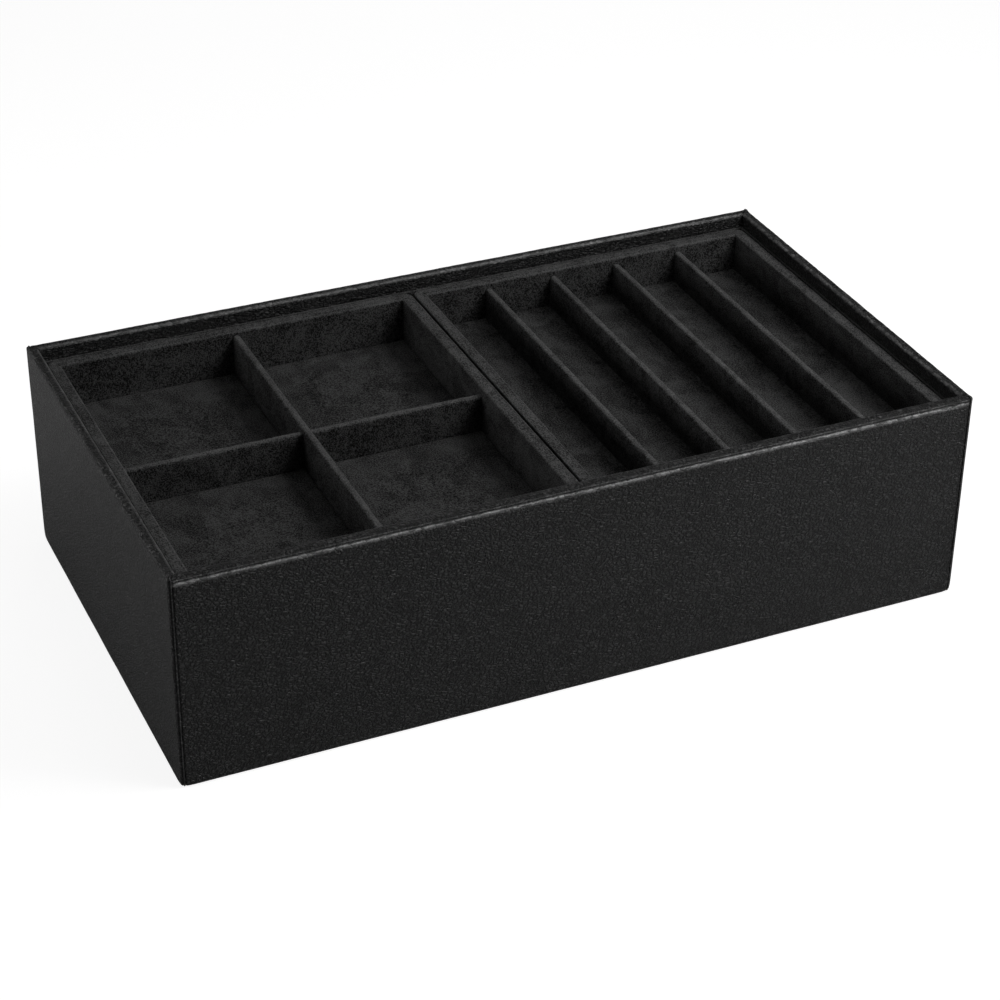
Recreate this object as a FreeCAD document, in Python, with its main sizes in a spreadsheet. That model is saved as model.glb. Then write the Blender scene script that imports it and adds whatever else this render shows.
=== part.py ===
import FreeCAD, Part
import Sketcher
import os
import re

# Leather-covered storage box with two suede trays that lift out.
# Origin: centre of the underside. X is the width, Y the depth with the front at -Y, Z is up.
# All sizes are millimetres.

SIZES = {
    "case_width": 400.0,         # outside, over the leather
    "case_depth": 225.0,
    "case_height": 110.8,
    "wall_board": 3.8,           # boards of the case walls
    "base_board": 3.2,           # bottom board of the case
    "leather": 0.7,              # leather, every layer of it
    "edge_round": 2.4,           # outer rounding of the case's rim and of its upright corners
    "mouth_round": 1.8,          # inner rounding of the case's rim
    "foot_round": 1.4,           # rounding of the case's lower edges
    "corner_wrap": 2.0,          # side leather carried round onto the front and the back
    "turn_under": 12.0,          # leather turned in under the bottom
    "lining": 1.4,               # thin boards that line the case walls
    "lining_drop": 0.4,          # edge of the lining below the rims of the trays
    "ledge_board": 4.0,          # boards that the trays rest on
    "storage_pad_height": 2.0,   # padded floor of the space under the trays
    "pad_clearance": 0.3,        # gap round every padded floor
    "pad_round": 1.2,            # rounding of a padded floor's upper edges
    "tray_recess": 7.0,          # rims of the trays below the rim of the case
    "tray_height": 28.0,
    "tray_clearance": 0.9,       # between a tray and the lining
    "tray_gap": 1.2,             # between the two trays
    "tray_wall_board": 4.9,
    "tray_base_board": 2.5,
    "suede": 0.6,                # suede, every layer of it
    "underside_cloth": 0.6,      # cloth under a tray
    "tray_corner": 4.2,          # upright outer corners of a tray
    "tray_round": 1.0,           # outer rounding of a tray's rim
    "tray_inner_round": 1.4,     # inner rounding of a tray's rim
    "divider_board": 2.5,
    "divider_round": 1.4,        # rounding of a covered divider's top
    "long_divider_drop": 2.3,    # top of the long divider below the rim of the square tray
    "cross_divider_drop": 4.6,   # top of the cross divider below the rim of the square tray
    "slot_divider_drop": 3.6,    # divider tops below the rim of the slot tray
    "square_pad_height": 1.7,    # padded floors of the square tray
    "slot_pad_height": 4.8,      # padded floors of the slot tray
    "slot_count": 5,             # slots of the slot tray
}

# Sizes and places that follow from the ones above.
RELATIONS = {
    "case_wall": "wall_board + 2 * leather",
    "case_floor": "leather + base_board",
    "base_inset": "leather + wall_board",
    "board_round": "edge_round - leather",
    "lap_depth": "leather + 0.3 * board_round",
    "mitre_reach": "case_wall + turn_under",
    "lined_wall": "case_wall + lining",
    "ledge_edge": "lined_wall + ledge_board",
    "tray_top": "case_height - tray_recess",
    "tray_bottom": "tray_top - tray_height",
    "tray_margin": "lined_wall + tray_clearance",
    "tray_width": "(case_width - 2 * tray_margin - tray_gap) / 2",
    "tray_depth": "case_depth - 2 * tray_margin",
    "tray_wall": "tray_wall_board + 2 * suede",
    "tray_floor": "tray_bottom + underside_cloth + tray_base_board",
    "room_width": "tray_width - 2 * tray_wall",
    "room_depth": "tray_depth - 2 * tray_wall",
    "room_front": "tray_margin + tray_wall",
    "divider": "divider_board + 2 * suede",
    "square_width": "(room_width - divider) / 2",
    "square_depth": "(room_depth - divider) / 2",
    "slot_width": "(room_width + divider) / slot_count - divider",
    "long_top": "tray_top - long_divider_drop",
    "cross_top": "tray_top - cross_divider_drop",
    "slot_top": "tray_top - slot_divider_drop",
    "crossing": "(tray_floor + cross_top - suede) / 2",
}

doc = FreeCAD.newDocument("storage_box")
sheet = doc.addObject("Spreadsheet::Sheet", "sizes")
for row, (name, number) in enumerate(SIZES.items(), start=1):
    sheet.set("A%d" % row, name)
    sheet.set("B%d" % row, str(number))
    sheet.setAlias("B%d" % row, name)
doc.recompute()

WORD = re.compile(r"[a-z][a-z_]*")
NEAR = 1e-4  # how closely an edge has to match its place
ROUGH = 10.0  # size of a sketch before its constraints set it
nodes = []


def formula(text):
    """Turns a relation between named sizes into an expression on the sheet's cells."""
    def cell(match):
        word = match.group(0)
        if word in RELATIONS:
            return "(" + formula(RELATIONS[word]) + ")"
        return "sizes." + word
    return WORD.sub(cell, text)


def add(kind, label):
    thing = doc.addObject(kind, label)
    thing.Label = label
    return thing


def place(thing, corner):
    """Ties a corner to relations measured from the case's left side, front and bottom."""
    left, front, bottom = corner
    thing.setExpression("Placement.Base.x", formula("(%s) - case_width / 2" % left))
    thing.setExpression("Placement.Base.y", formula("(%s) - case_depth / 2" % front))
    thing.setExpression("Placement.Base.z", formula(bottom))


def box(label, corner, size):
    """A plain board."""
    thing = add("Part::Box", label)
    for side, text in zip(("Length", "Width", "Height"), size):
        thing.setExpression(side, formula(text))
    place(thing, corner)
    doc.recompute()
    return thing


def fuse(label, things):
    thing = add("Part::MultiFuse", label)
    thing.Shapes = things
    doc.recompute()
    return thing


def cut(label, base, tools):
    """The base with the tools taken away."""
    tool = tools[0] if len(tools) == 1 else fuse(label + "_tools", tools)
    thing = add("Part::Cut", label)
    thing.Base = base
    thing.Tool = tool
    doc.recompute()
    return thing


def common(label, base, tool):
    """What the base and the tool share."""
    thing = add("Part::Common", label)
    thing.Base = base
    thing.Tool = tool
    doc.recompute()
    return thing


def rectangle(body, name, length, width, inset=None, level=None):
    """A sketched rectangle on the body's ground plane, or raised to a level."""
    plane = [f for f in body.Origin.OriginFeatures if f.Role == "XY_Plane"][0]
    sketch = body.newObject("Sketcher::SketchObject", name)
    sketch.AttachmentSupport = [(plane, "")]
    sketch.MapMode = "FlatFace"
    corners = [FreeCAD.Vector(x * ROUGH, y * ROUGH, 0) for x, y in ((1, 1), (2, 1), (2, 2), (1, 2))]
    for start, end in zip(corners, corners[1:] + corners[:1]):
        sketch.addGeometry(Part.LineSegment(start, end))
    for side in range(4):
        sketch.addConstraint(Sketcher.Constraint("Coincident", side, 2, (side + 1) % 4, 1))
        sketch.addConstraint(Sketcher.Constraint("Vertical" if side % 2 else "Horizontal", side))
    spans = [("length", length, ("DistanceX", 0, 1, 0, 2, ROUGH)),
             ("width", width, ("DistanceY", 1, 1, 1, 2, ROUGH))]
    if inset:
        spans.append(("left", inset, ("DistanceX", -1, 1, 0, 1, ROUGH)))
        spans.append(("front", inset, ("DistanceY", -1, 1, 0, 1, ROUGH)))
    else:
        sketch.addConstraint(Sketcher.Constraint("Coincident", 0, 1, -1, 1))
    for title, text, values in spans:
        number = sketch.addConstraint(Sketcher.Constraint(*values))
        sketch.renameConstraint(number, title)
        sketch.setExpression("Constraints." + title, formula(text))
    if level:
        sketch.setExpression("AttachmentOffset.Base.z", formula(level))
    doc.recompute()
    return sketch


def block(label, corner, size):
    """A solid padded from a rectangle, ready for roundings and a hollow."""
    body = add("PartDesign::Body", label)
    plan = rectangle(body, label + "_plan", size[0], size[1])
    pad = body.newObject("PartDesign::Pad", label + "_pad")
    pad.Profile = plan
    pad.setExpression("Length", formula(size[2]))
    place(body, corner)
    doc.recompute()
    return body


def hollow(body, wall, floor, size):
    """Opens the block from the top, down to its floor."""
    before = body.Shape.Volume
    length, width = ("(%s) - 2 * (%s)" % (side, wall) for side in size)
    plan = rectangle(body, body.Label + "_mouth", length, width, wall, floor)
    pocket = body.newObject("PartDesign::Pocket", body.Label + "_hollow")
    pocket.Profile = plan
    pocket.Type = "ThroughAll"
    pocket.Reversed = True
    doc.recompute()
    if body.Shape.Volume > before - 1:
        raise RuntimeError(body.Label + " was not hollowed")


def round_edges(body, radius, wanted):
    """Rounds the edges of the body that the test picks."""
    base = body.Tip
    bounds = base.Shape.BoundBox
    chosen = ["Edge%d" % number for number, edge in enumerate(base.Shape.Edges, start=1)
              if wanted(edge.BoundBox, bounds)]
    fillet = body.newObject("PartDesign::Fillet", body.Label + "_round")
    fillet.Base = (base, chosen)
    fillet.setExpression("Radius", formula(radius))
    doc.recompute()


def upright(edge, bounds):
    return edge.ZLength > NEAR and max(edge.XLength, edge.YLength) < NEAR


def at_top(edge, bounds):
    return edge.ZMin > bounds.ZMax - NEAR


def at_bottom(edge, bounds):
    return edge.ZMax < bounds.ZMin + NEAR


def at_side(edge, bounds):
    """Whether an edge reaches one of the block's four outer sides."""
    return (edge.XMin < bounds.XMin + NEAR or edge.XMax > bounds.XMax - NEAR
            or edge.YMin < bounds.YMin + NEAR or edge.YMax > bounds.YMax - NEAR)


def mouth(edge, bounds):
    """The inner edges of a hollow's opening."""
    return at_top(edge, bounds) and not at_side(edge, bounds)


def outer_upright(edge, bounds):
    return upright(edge, bounds) and at_side(edge, bounds)


def outer_rim(edge, bounds):
    return at_top(edge, bounds) and at_side(edge, bounds)


def outer_foot(edge, bounds):
    return at_bottom(edge, bounds) and at_side(edge, bounds)


def front_uprights(edge, bounds):
    return upright(edge, bounds) and edge.YMax < bounds.YMin + NEAR


def back_uprights(edge, bounds):
    return upright(edge, bounds) and edge.YMin > bounds.YMax - NEAR


def front_wall_edges(edge, bounds):
    """The outer edges of a board at the front: its uprights and its top, but for the inner top edge."""
    return front_uprights(edge, bounds) or (at_top(edge, bounds) and edge.YMin < bounds.YMax - NEAR)


def back_wall_edges(edge, bounds):
    return back_uprights(edge, bounds) or (at_top(edge, bounds) and edge.YMax > bounds.YMin + NEAR)


def top_left(edge, bounds):
    return at_top(edge, bounds) and edge.XMax < bounds.XMin + NEAR


def top_right(edge, bounds):
    return at_top(edge, bounds) and edge.XMin > bounds.XMax - NEAR


def top_along_x(edge, bounds):
    return at_top(edge, bounds) and edge.XLength > edge.YLength


def top_along_y(edge, bounds):
    return at_top(edge, bounds) and edge.YLength > edge.XLength


def keep(*things):
    """Marks objects as finished pieces."""
    nodes.extend(things)


# Boards of the case.
base_board = box("base_board", ("base_inset", "base_inset", "leather"),
                 ("case_width - 2 * base_inset", "case_depth - 2 * base_inset", "base_board"))
board_height = "case_height - 2 * leather"
long_board = ("case_width - 2 * leather", "wall_board", board_height)
short_board = ("wall_board", "case_depth - 2 * base_inset", board_height)
front_board = block("front_board", ("leather", "leather", "leather"), long_board)
back_board = block("back_board", ("leather", "case_depth - base_inset", "leather"), long_board)
left_board = block("left_board", ("leather", "base_inset", "leather"), short_board)
right_board = block("right_board", ("case_width - base_inset", "base_inset", "leather"), short_board)
round_edges(front_board, "board_round", front_wall_edges)
round_edges(back_board, "board_round", back_wall_edges)
round_edges(left_board, "board_round", top_left)
round_edges(right_board, "board_round", top_right)
underside_cover = box("underside_cover", ("turn_under", "turn_under", "0"),
                      ("case_width - 2 * turn_under", "case_depth - 2 * turn_under", "leather"))
case_boards = [base_board, front_board, back_board, left_board, right_board, underside_cover]
keep(*case_boards)

# Leather of the case: one skin over the boards, divided at the mitres and the corner seams.
case_size = ("case_width", "case_depth", "case_height")
case_block = block("case_block", ("0", "0", "0"), case_size)
hollow(case_block, "case_wall", "case_floor", case_size[:2])
for radius, picked in (("mouth_round", mouth), ("edge_round", outer_upright),
                       ("edge_round", outer_rim), ("foot_round", outer_foot)):
    round_edges(case_block, radius, picked)
case_skin = cut("case_skin", case_block, case_boards)


def mitred_zone(label, front, near_inset, far_inset):
    """The wall zone between two mitres: its ends are inset by these at its front and its back."""
    zone = add("Part::Wedge", label)
    bounds = {"Xmin": near_inset, "Xmax": "case_width - (%s)" % near_inset,
              "X2min": far_inset, "X2max": "case_width - (%s)" % far_inset,
              "Ymin": "0", "Ymax": "mitre_reach",
              "Zmin": "0", "Zmax": "case_height", "Z2min": "0", "Z2max": "case_height"}
    for side, text in bounds.items():
        zone.setExpression(side, formula(text))
    place(zone, ("0", front, "0"))
    doc.recompute()
    return zone


def corner_strip(label, left, front):
    """Where the side leather laps the front or the back."""
    return box(label, (left, front, "0"), ("corner_wrap", "lap_depth", "case_height"))


front_zone = mitred_zone("front_zone", "0", "0", "mitre_reach")
back_zone = mitred_zone("back_zone", "case_depth - mitre_reach", "mitre_reach", "0")
right_lap = "case_width - corner_wrap"
back_face = "case_depth - lap_depth"
front_strips = [corner_strip("front_left_strip", "0", "0"),
                corner_strip("front_right_strip", right_lap, "0")]
back_strips = [corner_strip("back_left_strip", "0", back_face),
               corner_strip("back_right_strip", right_lap, back_face)]
front_leather = cut("front_leather", common("front_skin", case_skin, front_zone), front_strips)
back_leather = cut("back_leather", common("back_skin", case_skin, back_zone), back_strips)
side_skin = cut("side_skin", case_skin, [front_leather, back_leather])
half_size = ("case_width / 2", "case_depth", "case_height")
left_leather = common("left_leather", side_skin, box("left_half", ("0", "0", "0"), half_size))
right_leather = common("right_leather", side_skin, box("right_half", ("case_width / 2", "0", "0"), half_size))
keep(front_leather, back_leather, left_leather, right_leather)


def boards_inside(name, edge, thickness, height):
    """Four boards that stand on the case floor inside an edge, the front and back ones full length."""
    inner = "(%s) + %s" % (edge, thickness)
    long_size = ("case_width - 2 * (%s)" % edge, thickness, height)
    short_size = (thickness, "case_depth - 2 * (%s)" % inner, height)
    keep(box("front_" + name, (edge, edge, "case_floor"), long_size),
         box("back_" + name, (edge, "case_depth - (%s)" % inner, "case_floor"), long_size),
         box("left_" + name, (edge, inner, "case_floor"), short_size),
         box("right_" + name, ("case_width - (%s)" % inner, inner, "case_floor"), short_size))


def padded_floor(label, corner, size):
    """A padded floor, clear of its neighbours all round, with soft upper edges."""
    left, front, bottom = corner
    clear = ("(%s) + pad_clearance" % left, "(%s) + pad_clearance" % front, bottom)
    length, width, height = size
    body = block(label, clear,
                 ("(%s) - 2 * pad_clearance" % length, "(%s) - 2 * pad_clearance" % width, height))
    round_edges(body, "pad_round", at_top)
    keep(body)


# Lining of the case, the ledges that carry the trays, and the floor of the space below them.
boards_inside("lining", "case_wall", "lining", "tray_top - lining_drop - case_floor")
boards_inside("ledge", "lined_wall", "ledge_board", "tray_bottom - case_floor")
padded_floor("storage_floor", ("ledge_edge", "ledge_edge", "case_floor"),
             ("case_width - 2 * ledge_edge", "case_depth - 2 * ledge_edge", "storage_pad_height"))


def tray(name, left):
    """The boards, cloth and suede of an empty tray."""
    tray_size = ("tray_width", "tray_depth", "tray_height")
    shell = block(name + "_block", (left, "tray_margin", "tray_bottom"), tray_size)
    hollow(shell, "tray_wall", "tray_floor - tray_bottom", tray_size[:2])
    round_edges(shell, "tray_inner_round", mouth)
    round_edges(shell, "tray_corner", outer_upright)
    round_edges(shell, "tray_round", outer_rim)

    edge = "(%s) + suede" % left
    front = "tray_margin + suede"
    length = "tray_width - 2 * suede"
    width = "tray_depth - 2 * suede"
    board_corner = "tray_corner - suede"
    cloth = block(name + "_underside_cloth", (edge, front, "tray_bottom"), (length, width, "underside_cloth"))
    base = block(name + "_base_board", (edge, front, "tray_bottom + underside_cloth"),
                 (length, width, "tray_base_board"))
    for sheet_piece in (cloth, base):
        round_edges(sheet_piece, board_corner, outer_upright)

    wall_height = "tray_top - suede - tray_floor"
    long_wall = (length, "tray_wall_board", wall_height)
    short_wall = ("tray_wall_board", "tray_depth - 2 * suede - 2 * tray_wall_board", wall_height)
    side_front = front + " + tray_wall_board"
    far_front = "tray_margin + tray_depth - suede - tray_wall_board"
    far_edge = "(%s) + tray_width - suede - tray_wall_board" % left
    front_wall = block(name + "_front_board", (edge, front, "tray_floor"), long_wall)
    back_wall = block(name + "_back_board", (edge, far_front, "tray_floor"), long_wall)
    round_edges(front_wall, board_corner, front_uprights)
    round_edges(back_wall, board_corner, back_uprights)
    left_wall = box(name + "_left_board", (edge, side_front, "tray_floor"), short_wall)
    right_wall = box(name + "_right_board", (far_edge, side_front, "tray_floor"), short_wall)

    boards = [cloth, base, front_wall, back_wall, left_wall, right_wall]
    keep(*boards)
    keep(cut(name + "_suede", shell, boards))


def divider_suede(label, corner, size, long_edges, boards):
    """The suede over a divider's board: a block with its long top edges rounded, less the boards."""
    body = block(label + "_block", corner, size)
    round_edges(body, "divider_round", long_edges)
    return cut(label, body, boards)


def divider_board(label, corner, size, along_x):
    """The bare board inside a covered divider of this corner and size."""
    left, front, bottom = corner
    length, width, height = size
    if along_x:
        bare_corner = (left, "(%s) + suede" % front, bottom)
        bare_size = (length, "divider_board", "(%s) - suede" % height)
    else:
        bare_corner = ("(%s) + suede" % left, front, bottom)
        bare_size = ("divider_board", width, "(%s) - suede" % height)
    return box(label, bare_corner, bare_size)


# Square tray: four compartments round a long divider and a lower cross divider, halved together.
square_left = "tray_margin"
square_room = "tray_margin + tray_wall"
long_height = "long_top - tray_floor"
cross_height = "cross_top - tray_floor"
tray("square_tray", square_left)
long_left = square_room + " + square_width"
cross_front = "room_front + square_depth"
long_corner = (long_left, "room_front", "tray_floor")
long_size = ("divider", "room_depth", long_height)
cross_corner = (square_room, cross_front, "tray_floor")
cross_size = ("room_width", "divider", cross_height)
long_blank = divider_board("long_blank", long_corner, long_size, along_x=False)
cross_blank = divider_board("cross_blank", cross_corner, cross_size, along_x=True)
lower_halving = box("lower_halving", (long_left, cross_front + " + suede", "tray_floor"),
                    ("divider", "divider_board", "crossing - tray_floor"))
upper_halving = box("upper_halving", (long_left, cross_front, "crossing"),
                    ("divider", "divider", "cross_top - crossing"))
keep(cut("square_long_divider_board", long_blank, [lower_halving]),
     cut("square_cross_divider_board", cross_blank, [upper_halving]),
     divider_suede("square_long_divider_suede", long_corner, long_size, top_along_y,
                   [long_blank, lower_halving]))
for side, left in (("left", square_room), ("right", long_left + " + divider")):
    keep(divider_suede("square_cross_divider_suede_" + side, (left, cross_front, "tray_floor"),
                       ("square_width", "divider", cross_height), top_along_x, [cross_blank]))
for end, front in (("front", "room_front"), ("back", cross_front + " + divider")):
    for side, left in (("left", square_room), ("right", long_left + " + divider")):
        padded_floor("square_floor_%s_%s" % (end, side), (left, front, "tray_floor"),
                     ("square_width", "square_depth", "square_pad_height"))

# Slot tray: dividers from front to back, all alike.
slot_left = "tray_margin + tray_width + tray_gap"
tray("slot_tray", slot_left)
slot_count = int(sheet.get("slot_count"))
slot_size = ("divider", "room_depth", "slot_top - tray_floor")
for number in range(1, slot_count + 1):
    room = slot_left + " + tray_wall + (slot_width + divider) * %d" % (number - 1)
    padded_floor("slot_floor_%d" % number, (room, "room_front", "tray_floor"),
                 ("slot_width", "room_depth", "slot_pad_height"))
    if number < slot_count:
        corner = (room + " + slot_width", "room_front", "tray_floor")
        board = divider_board("slot_divider_board_%d" % number, corner, slot_size, along_x=False)
        keep(board, divider_suede("slot_divider_suede_%d" % number, corner, slot_size, top_along_y, [board]))

# Every feature is sound, and every piece is one closed solid.
doc.recompute()
for thing in doc.Objects:
    if "Invalid" in thing.State or "Error" in thing.State:
        raise RuntimeError("%s is %s" % (thing.Label, thing.State))
os.makedirs("parts", exist_ok=True)
for node in nodes:
    shape = node.Shape
    if shape.isNull() or not shape.isValid() or len(shape.Solids) != 1:
        raise RuntimeError("%s is not one sound solid" % node.Label)
for node in nodes:
    node.Shape.exportStep("parts/%s.step" % node.Label)
print("%d nodes" % len(nodes))
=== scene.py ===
"""A leather-covered storage box with two suede trays that lift out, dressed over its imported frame.

Sizes are metres. X is the width, Y the depth with the front at -Y, and Z is up.
"""

import logging
import math
from dataclasses import dataclass
from enum import Enum
from itertools import product
from typing import Dict, List, Optional, Sequence, Tuple, Union

import bmesh
import bpy
import numpy as np
from mathutils import Matrix, Vector


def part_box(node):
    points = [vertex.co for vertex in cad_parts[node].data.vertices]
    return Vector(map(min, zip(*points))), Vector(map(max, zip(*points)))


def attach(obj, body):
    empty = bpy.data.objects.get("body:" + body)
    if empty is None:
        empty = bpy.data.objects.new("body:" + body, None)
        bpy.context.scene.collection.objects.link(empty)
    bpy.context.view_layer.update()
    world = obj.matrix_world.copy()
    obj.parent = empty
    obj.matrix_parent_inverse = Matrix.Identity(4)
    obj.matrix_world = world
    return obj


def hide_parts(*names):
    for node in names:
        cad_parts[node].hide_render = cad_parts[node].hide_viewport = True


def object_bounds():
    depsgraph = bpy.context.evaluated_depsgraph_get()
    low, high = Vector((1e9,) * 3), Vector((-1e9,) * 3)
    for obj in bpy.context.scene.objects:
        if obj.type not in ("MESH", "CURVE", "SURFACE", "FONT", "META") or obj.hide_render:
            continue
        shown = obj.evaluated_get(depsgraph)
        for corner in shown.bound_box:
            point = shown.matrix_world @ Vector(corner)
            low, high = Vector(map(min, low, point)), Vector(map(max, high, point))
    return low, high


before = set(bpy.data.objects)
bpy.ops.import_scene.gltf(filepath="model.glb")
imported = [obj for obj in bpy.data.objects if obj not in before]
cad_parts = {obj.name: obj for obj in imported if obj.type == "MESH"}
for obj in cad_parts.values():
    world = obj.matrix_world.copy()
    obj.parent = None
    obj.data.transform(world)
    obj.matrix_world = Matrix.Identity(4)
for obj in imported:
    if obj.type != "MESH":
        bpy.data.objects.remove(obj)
CAD_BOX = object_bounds()

Array = np.ndarray
Box = Tuple[Vector, Vector]
Colour = Tuple[float, float, float, float]
Outputs = bpy.types.NodeOutputs
Piece = bpy.types.Object
Place = Tuple[float, float, float]
Socket = bpy.types.NodeSocket
Value = Union[Socket, float, Sequence[float]]
log = logging.getLogger("storage_box")


# Shapes


@dataclass(frozen=True)
class SoftNoise:
    """Smooth random heights from -1 to 1 over space, the same on every run."""

    seed: int
    cell: float
    primes: Tuple[int, ...] = (73856093, 19349663, 83492791)
    seed_prime: int = 2654435761
    mixer: int = 1274126177
    shifts: Tuple[int, int] = (13, 15)
    kept_bits: int = 0x7FFFFFFF
    low_bits: int = 0xFFFF

    def at(self, places: Array) -> Array:
        """Heights at places.

        Args:
            places: Points, with their three coordinates along the last axis.

        Returns:
            One height for each point.
        """
        scaled = places / self.cell
        whole = np.floor(scaled).astype(np.int64)
        part = scaled - whole
        ease = part * part * (3.0 - 2.0 * part)
        total = np.zeros(places.shape[:-1])
        for corner in product((0, 1), repeat=3):
            share = np.prod(np.where(corner, ease, 1.0 - ease), axis=-1)
            total += share * self._lattice(whole + np.array(corner))
        return total

    def _lattice(self, whole: Array) -> Array:
        """Random heights at whole-numbered places.

        Args:
            whole: The places, with their three coordinates along the last axis.

        Returns:
            One height for each place.
        """
        mixed = self.seed * self.seed_prime
        for axis, prime in enumerate(self.primes):
            mixed = mixed ^ (whole[..., axis] * prime)
        first, second = self.shifts
        mixed = ((mixed ^ (mixed >> first)) * self.mixer) & self.kept_bits
        return ((mixed ^ (mixed >> second)) & self.low_bits) / (self.low_bits / 2.0) - 1.0


@dataclass(frozen=True)
class Mound:
    """A smooth rise to a height at one place, which dies away over a width."""

    place: float
    width: float
    height: float = 1.0

    def at(self, distance: Array) -> Array:
        """Its height at distances."""
        return self.height * np.exp(-((distance - self.place) / self.width) ** 2)


def smooth(share: Array) -> Array:
    """Eases shares from 0 to 1, held at both ends."""
    held = np.clip(share, 0.0, 1.0)
    return held * held * (3.0 - 2.0 * held)


def graded(length: float, step: float, ends: Sequence[float]) -> Array:
    """Places along a length, closer together near both ends.

    Args:
        length: The whole length.
        step: The spacing in the middle.
        ends: Distances from either end that get a place of their own, rising from 0.

    Returns:
        Rising places from 0 to the length.
    """
    near = np.array(ends)
    inner = length - 2.0 * near[-1]
    middle = np.linspace(near[-1], near[-1] + inner, max(int(round(inner / step)), 1) + 1)
    return np.concatenate([near[:-1], middle, (length - near[:-1])[::-1]])


def linked(name: str, data: bpy.types.ID) -> Piece:
    """Makes an object of the data and links it.

    Args:
        name: The object's name.
        data: Its data.

    Returns:
        The object.
    """
    made = bpy.data.objects.new(name, data)
    bpy.context.scene.collection.objects.link(made)
    return made


def mesh_object(name: str, points: Array, faces: Sequence[Sequence[int]], highlight_and_rub: Optional[Array] = None,
                merged: float = 2e-6, sliver: float = 1e-6) -> Piece:
    """Makes a smooth-shaded mesh, with points that coincide merged.

    Args:
        name: The piece's name.
        points: Its points, one row each.
        faces: The points of each face, counter-clockwise from outside.
        highlight_and_rub: How much each point gets the painted highlight and the rub, from 0 to 1.
        merged: Distance under which points are merged.
        sliver: Length under which edges are dissolved.

    Returns:
        The linked object.
    """
    mesh = bpy.data.meshes.new(name)
    mesh.from_pydata(points.tolist(), [], faces)
    if highlight_and_rub is not None:
        mesh.attributes.new("highlight_and_rub", "FLOAT", "POINT").data.foreach_set("value", highlight_and_rub.astype(np.float32))
    shape = bmesh.new()
    shape.from_mesh(mesh)
    bmesh.ops.remove_doubles(shape, verts=shape.verts, dist=merged)
    bmesh.ops.dissolve_degenerate(shape, edges=shape.edges, dist=sliver)
    for face in shape.faces:
        face.smooth = True
    shape.to_mesh(mesh)
    shape.free()
    return linked(name, mesh)


def grid_faces(rows: int, columns: int, closed: bool) -> List[Tuple[int, int, int, int]]:
    """Quads of a grid of points.

    Args:
        rows: Number of rows.
        columns: Number of columns.
        closed: Whether the last column joins the first.

    Returns:
        The quads, which face along column direction crossed with row direction.
    """
    quads = []
    for row, column in product(range(rows - 1), range(columns if closed else columns - 1)):
        after = (column + 1) % columns
        quads.append((row * columns + column, row * columns + after,
                      (row + 1) * columns + after, (row + 1) * columns + column))
    return quads


def give_thickness(piece: Piece, thickness: float) -> None:
    """Thickens a sheet inwards from its outer face."""
    wall = piece.modifiers.new("thickness", "SOLIDIFY")
    wall.thickness, wall.offset = thickness, -1.0


class SectionPen:
    """Draws the section of a cover across a wall: inward distance, height, and the way out of it."""

    def __init__(self) -> None:
        """Starts with an empty section."""
        self.rows: List[Tuple[float, float, float, float, float]] = []

    def run(self, places: Sequence[Tuple[float, float]], out: Tuple[float, float], highlight_and_rub: float = 0.0) -> None:
        """Adds a flat run.

        Args:
            places: Inward distance and height of each point.
            out: The outward direction, as inward and upward parts.
            highlight_and_rub: How much the run gets the painted highlight and the rub.
        """
        for inward, height in places:
            self.rows.append((inward, height, out[0], out[1], highlight_and_rub))

    def turn(self, centre: Tuple[float, float], radius: float, first: float, last: float,
             steps: int, highlight_and_rub: float) -> None:
        """Adds a rounding.

        Args:
            centre: Inward distance and height of its centre.
            radius: Its radius.
            first: Angle of its first point in degrees, with 0 inward and 90 up.
            last: Angle of its last point.
            steps: Number of steps between them.
            highlight_and_rub: How much its middle gets the painted highlight and the rub.
        """
        for step in range(steps + 1):
            share = step / steps
            angle = math.radians(first + (last - first) * share)
            out = (math.cos(angle), math.sin(angle))
            self.rows.append((centre[0] + radius * out[0], centre[1] + radius * out[1], *out,
                              highlight_and_rub * math.sin(math.pi * share)))

    def columns(self) -> Tuple[Array, ...]:
        """The section as arrays: inward, height, outward parts, and the painted highlight and rub."""
        return tuple(np.array(self.rows).T)


def swept(flat: Array, outs: Array, section: Sequence[Array]) -> Tuple[Array, Array]:
    """Lifts rows of plan places to the heights of a section.

    Args:
        flat: Plan places, one row for each place of the section.
        outs: Their outward plan directions.
        section: The pen's columns.

    Returns:
        The places in space, and the outward directions there.
    """
    _, height, out_in, out_up, _ = section
    rise, up = (np.broadcast_to(part[:, None], flat.shape[:2])[..., None] for part in (height, out_up))
    outward = np.concatenate([-outs * out_in[:, None, None], up], axis=-1)
    return np.concatenate([flat, rise], axis=-1), outward


class Side(Enum):
    """The four walls, counter-clockwise from above."""

    FRONT = 0
    RIGHT = 1
    BACK = 2
    LEFT = 3

    def placed(self, plan: Array, box: Box) -> Array:
        """Turns plan places measured from a wall's first corner into the frame's.

        Args:
            plan: Distances along the wall and inward, along the last axis.
            box: The lowest and highest corner of the walled thing.

        Returns:
            X and Y of each place.
        """
        low, high = box
        corners = ((low.x, low.y), (high.x, low.y), (high.x, high.y), (low.x, high.y))
        return np.array(corners[self.value]) + self.turned(plan)

    def turned(self, plan: Array) -> Array:
        """Turns plan directions into the frame's.

        Args:
            plan: Directions along the wall and inward, along the last axis.

        Returns:
            X and Y of each direction.
        """
        angle = math.radians(90.0 * self.value)
        across, up = math.cos(angle), math.sin(angle)
        return np.stack([plan[..., 0] * across - plan[..., 1] * up,
                         plan[..., 0] * up + plan[..., 1] * across], axis=-1)

    def wide(self) -> bool:
        """Whether the wall runs along the width."""
        return self in (Side.FRONT, Side.BACK)

    def length(self, box: Box) -> float:
        """Length of this wall's outer face."""
        low, high = box
        return high.x - low.x if self.wide() else high.y - low.y


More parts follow.
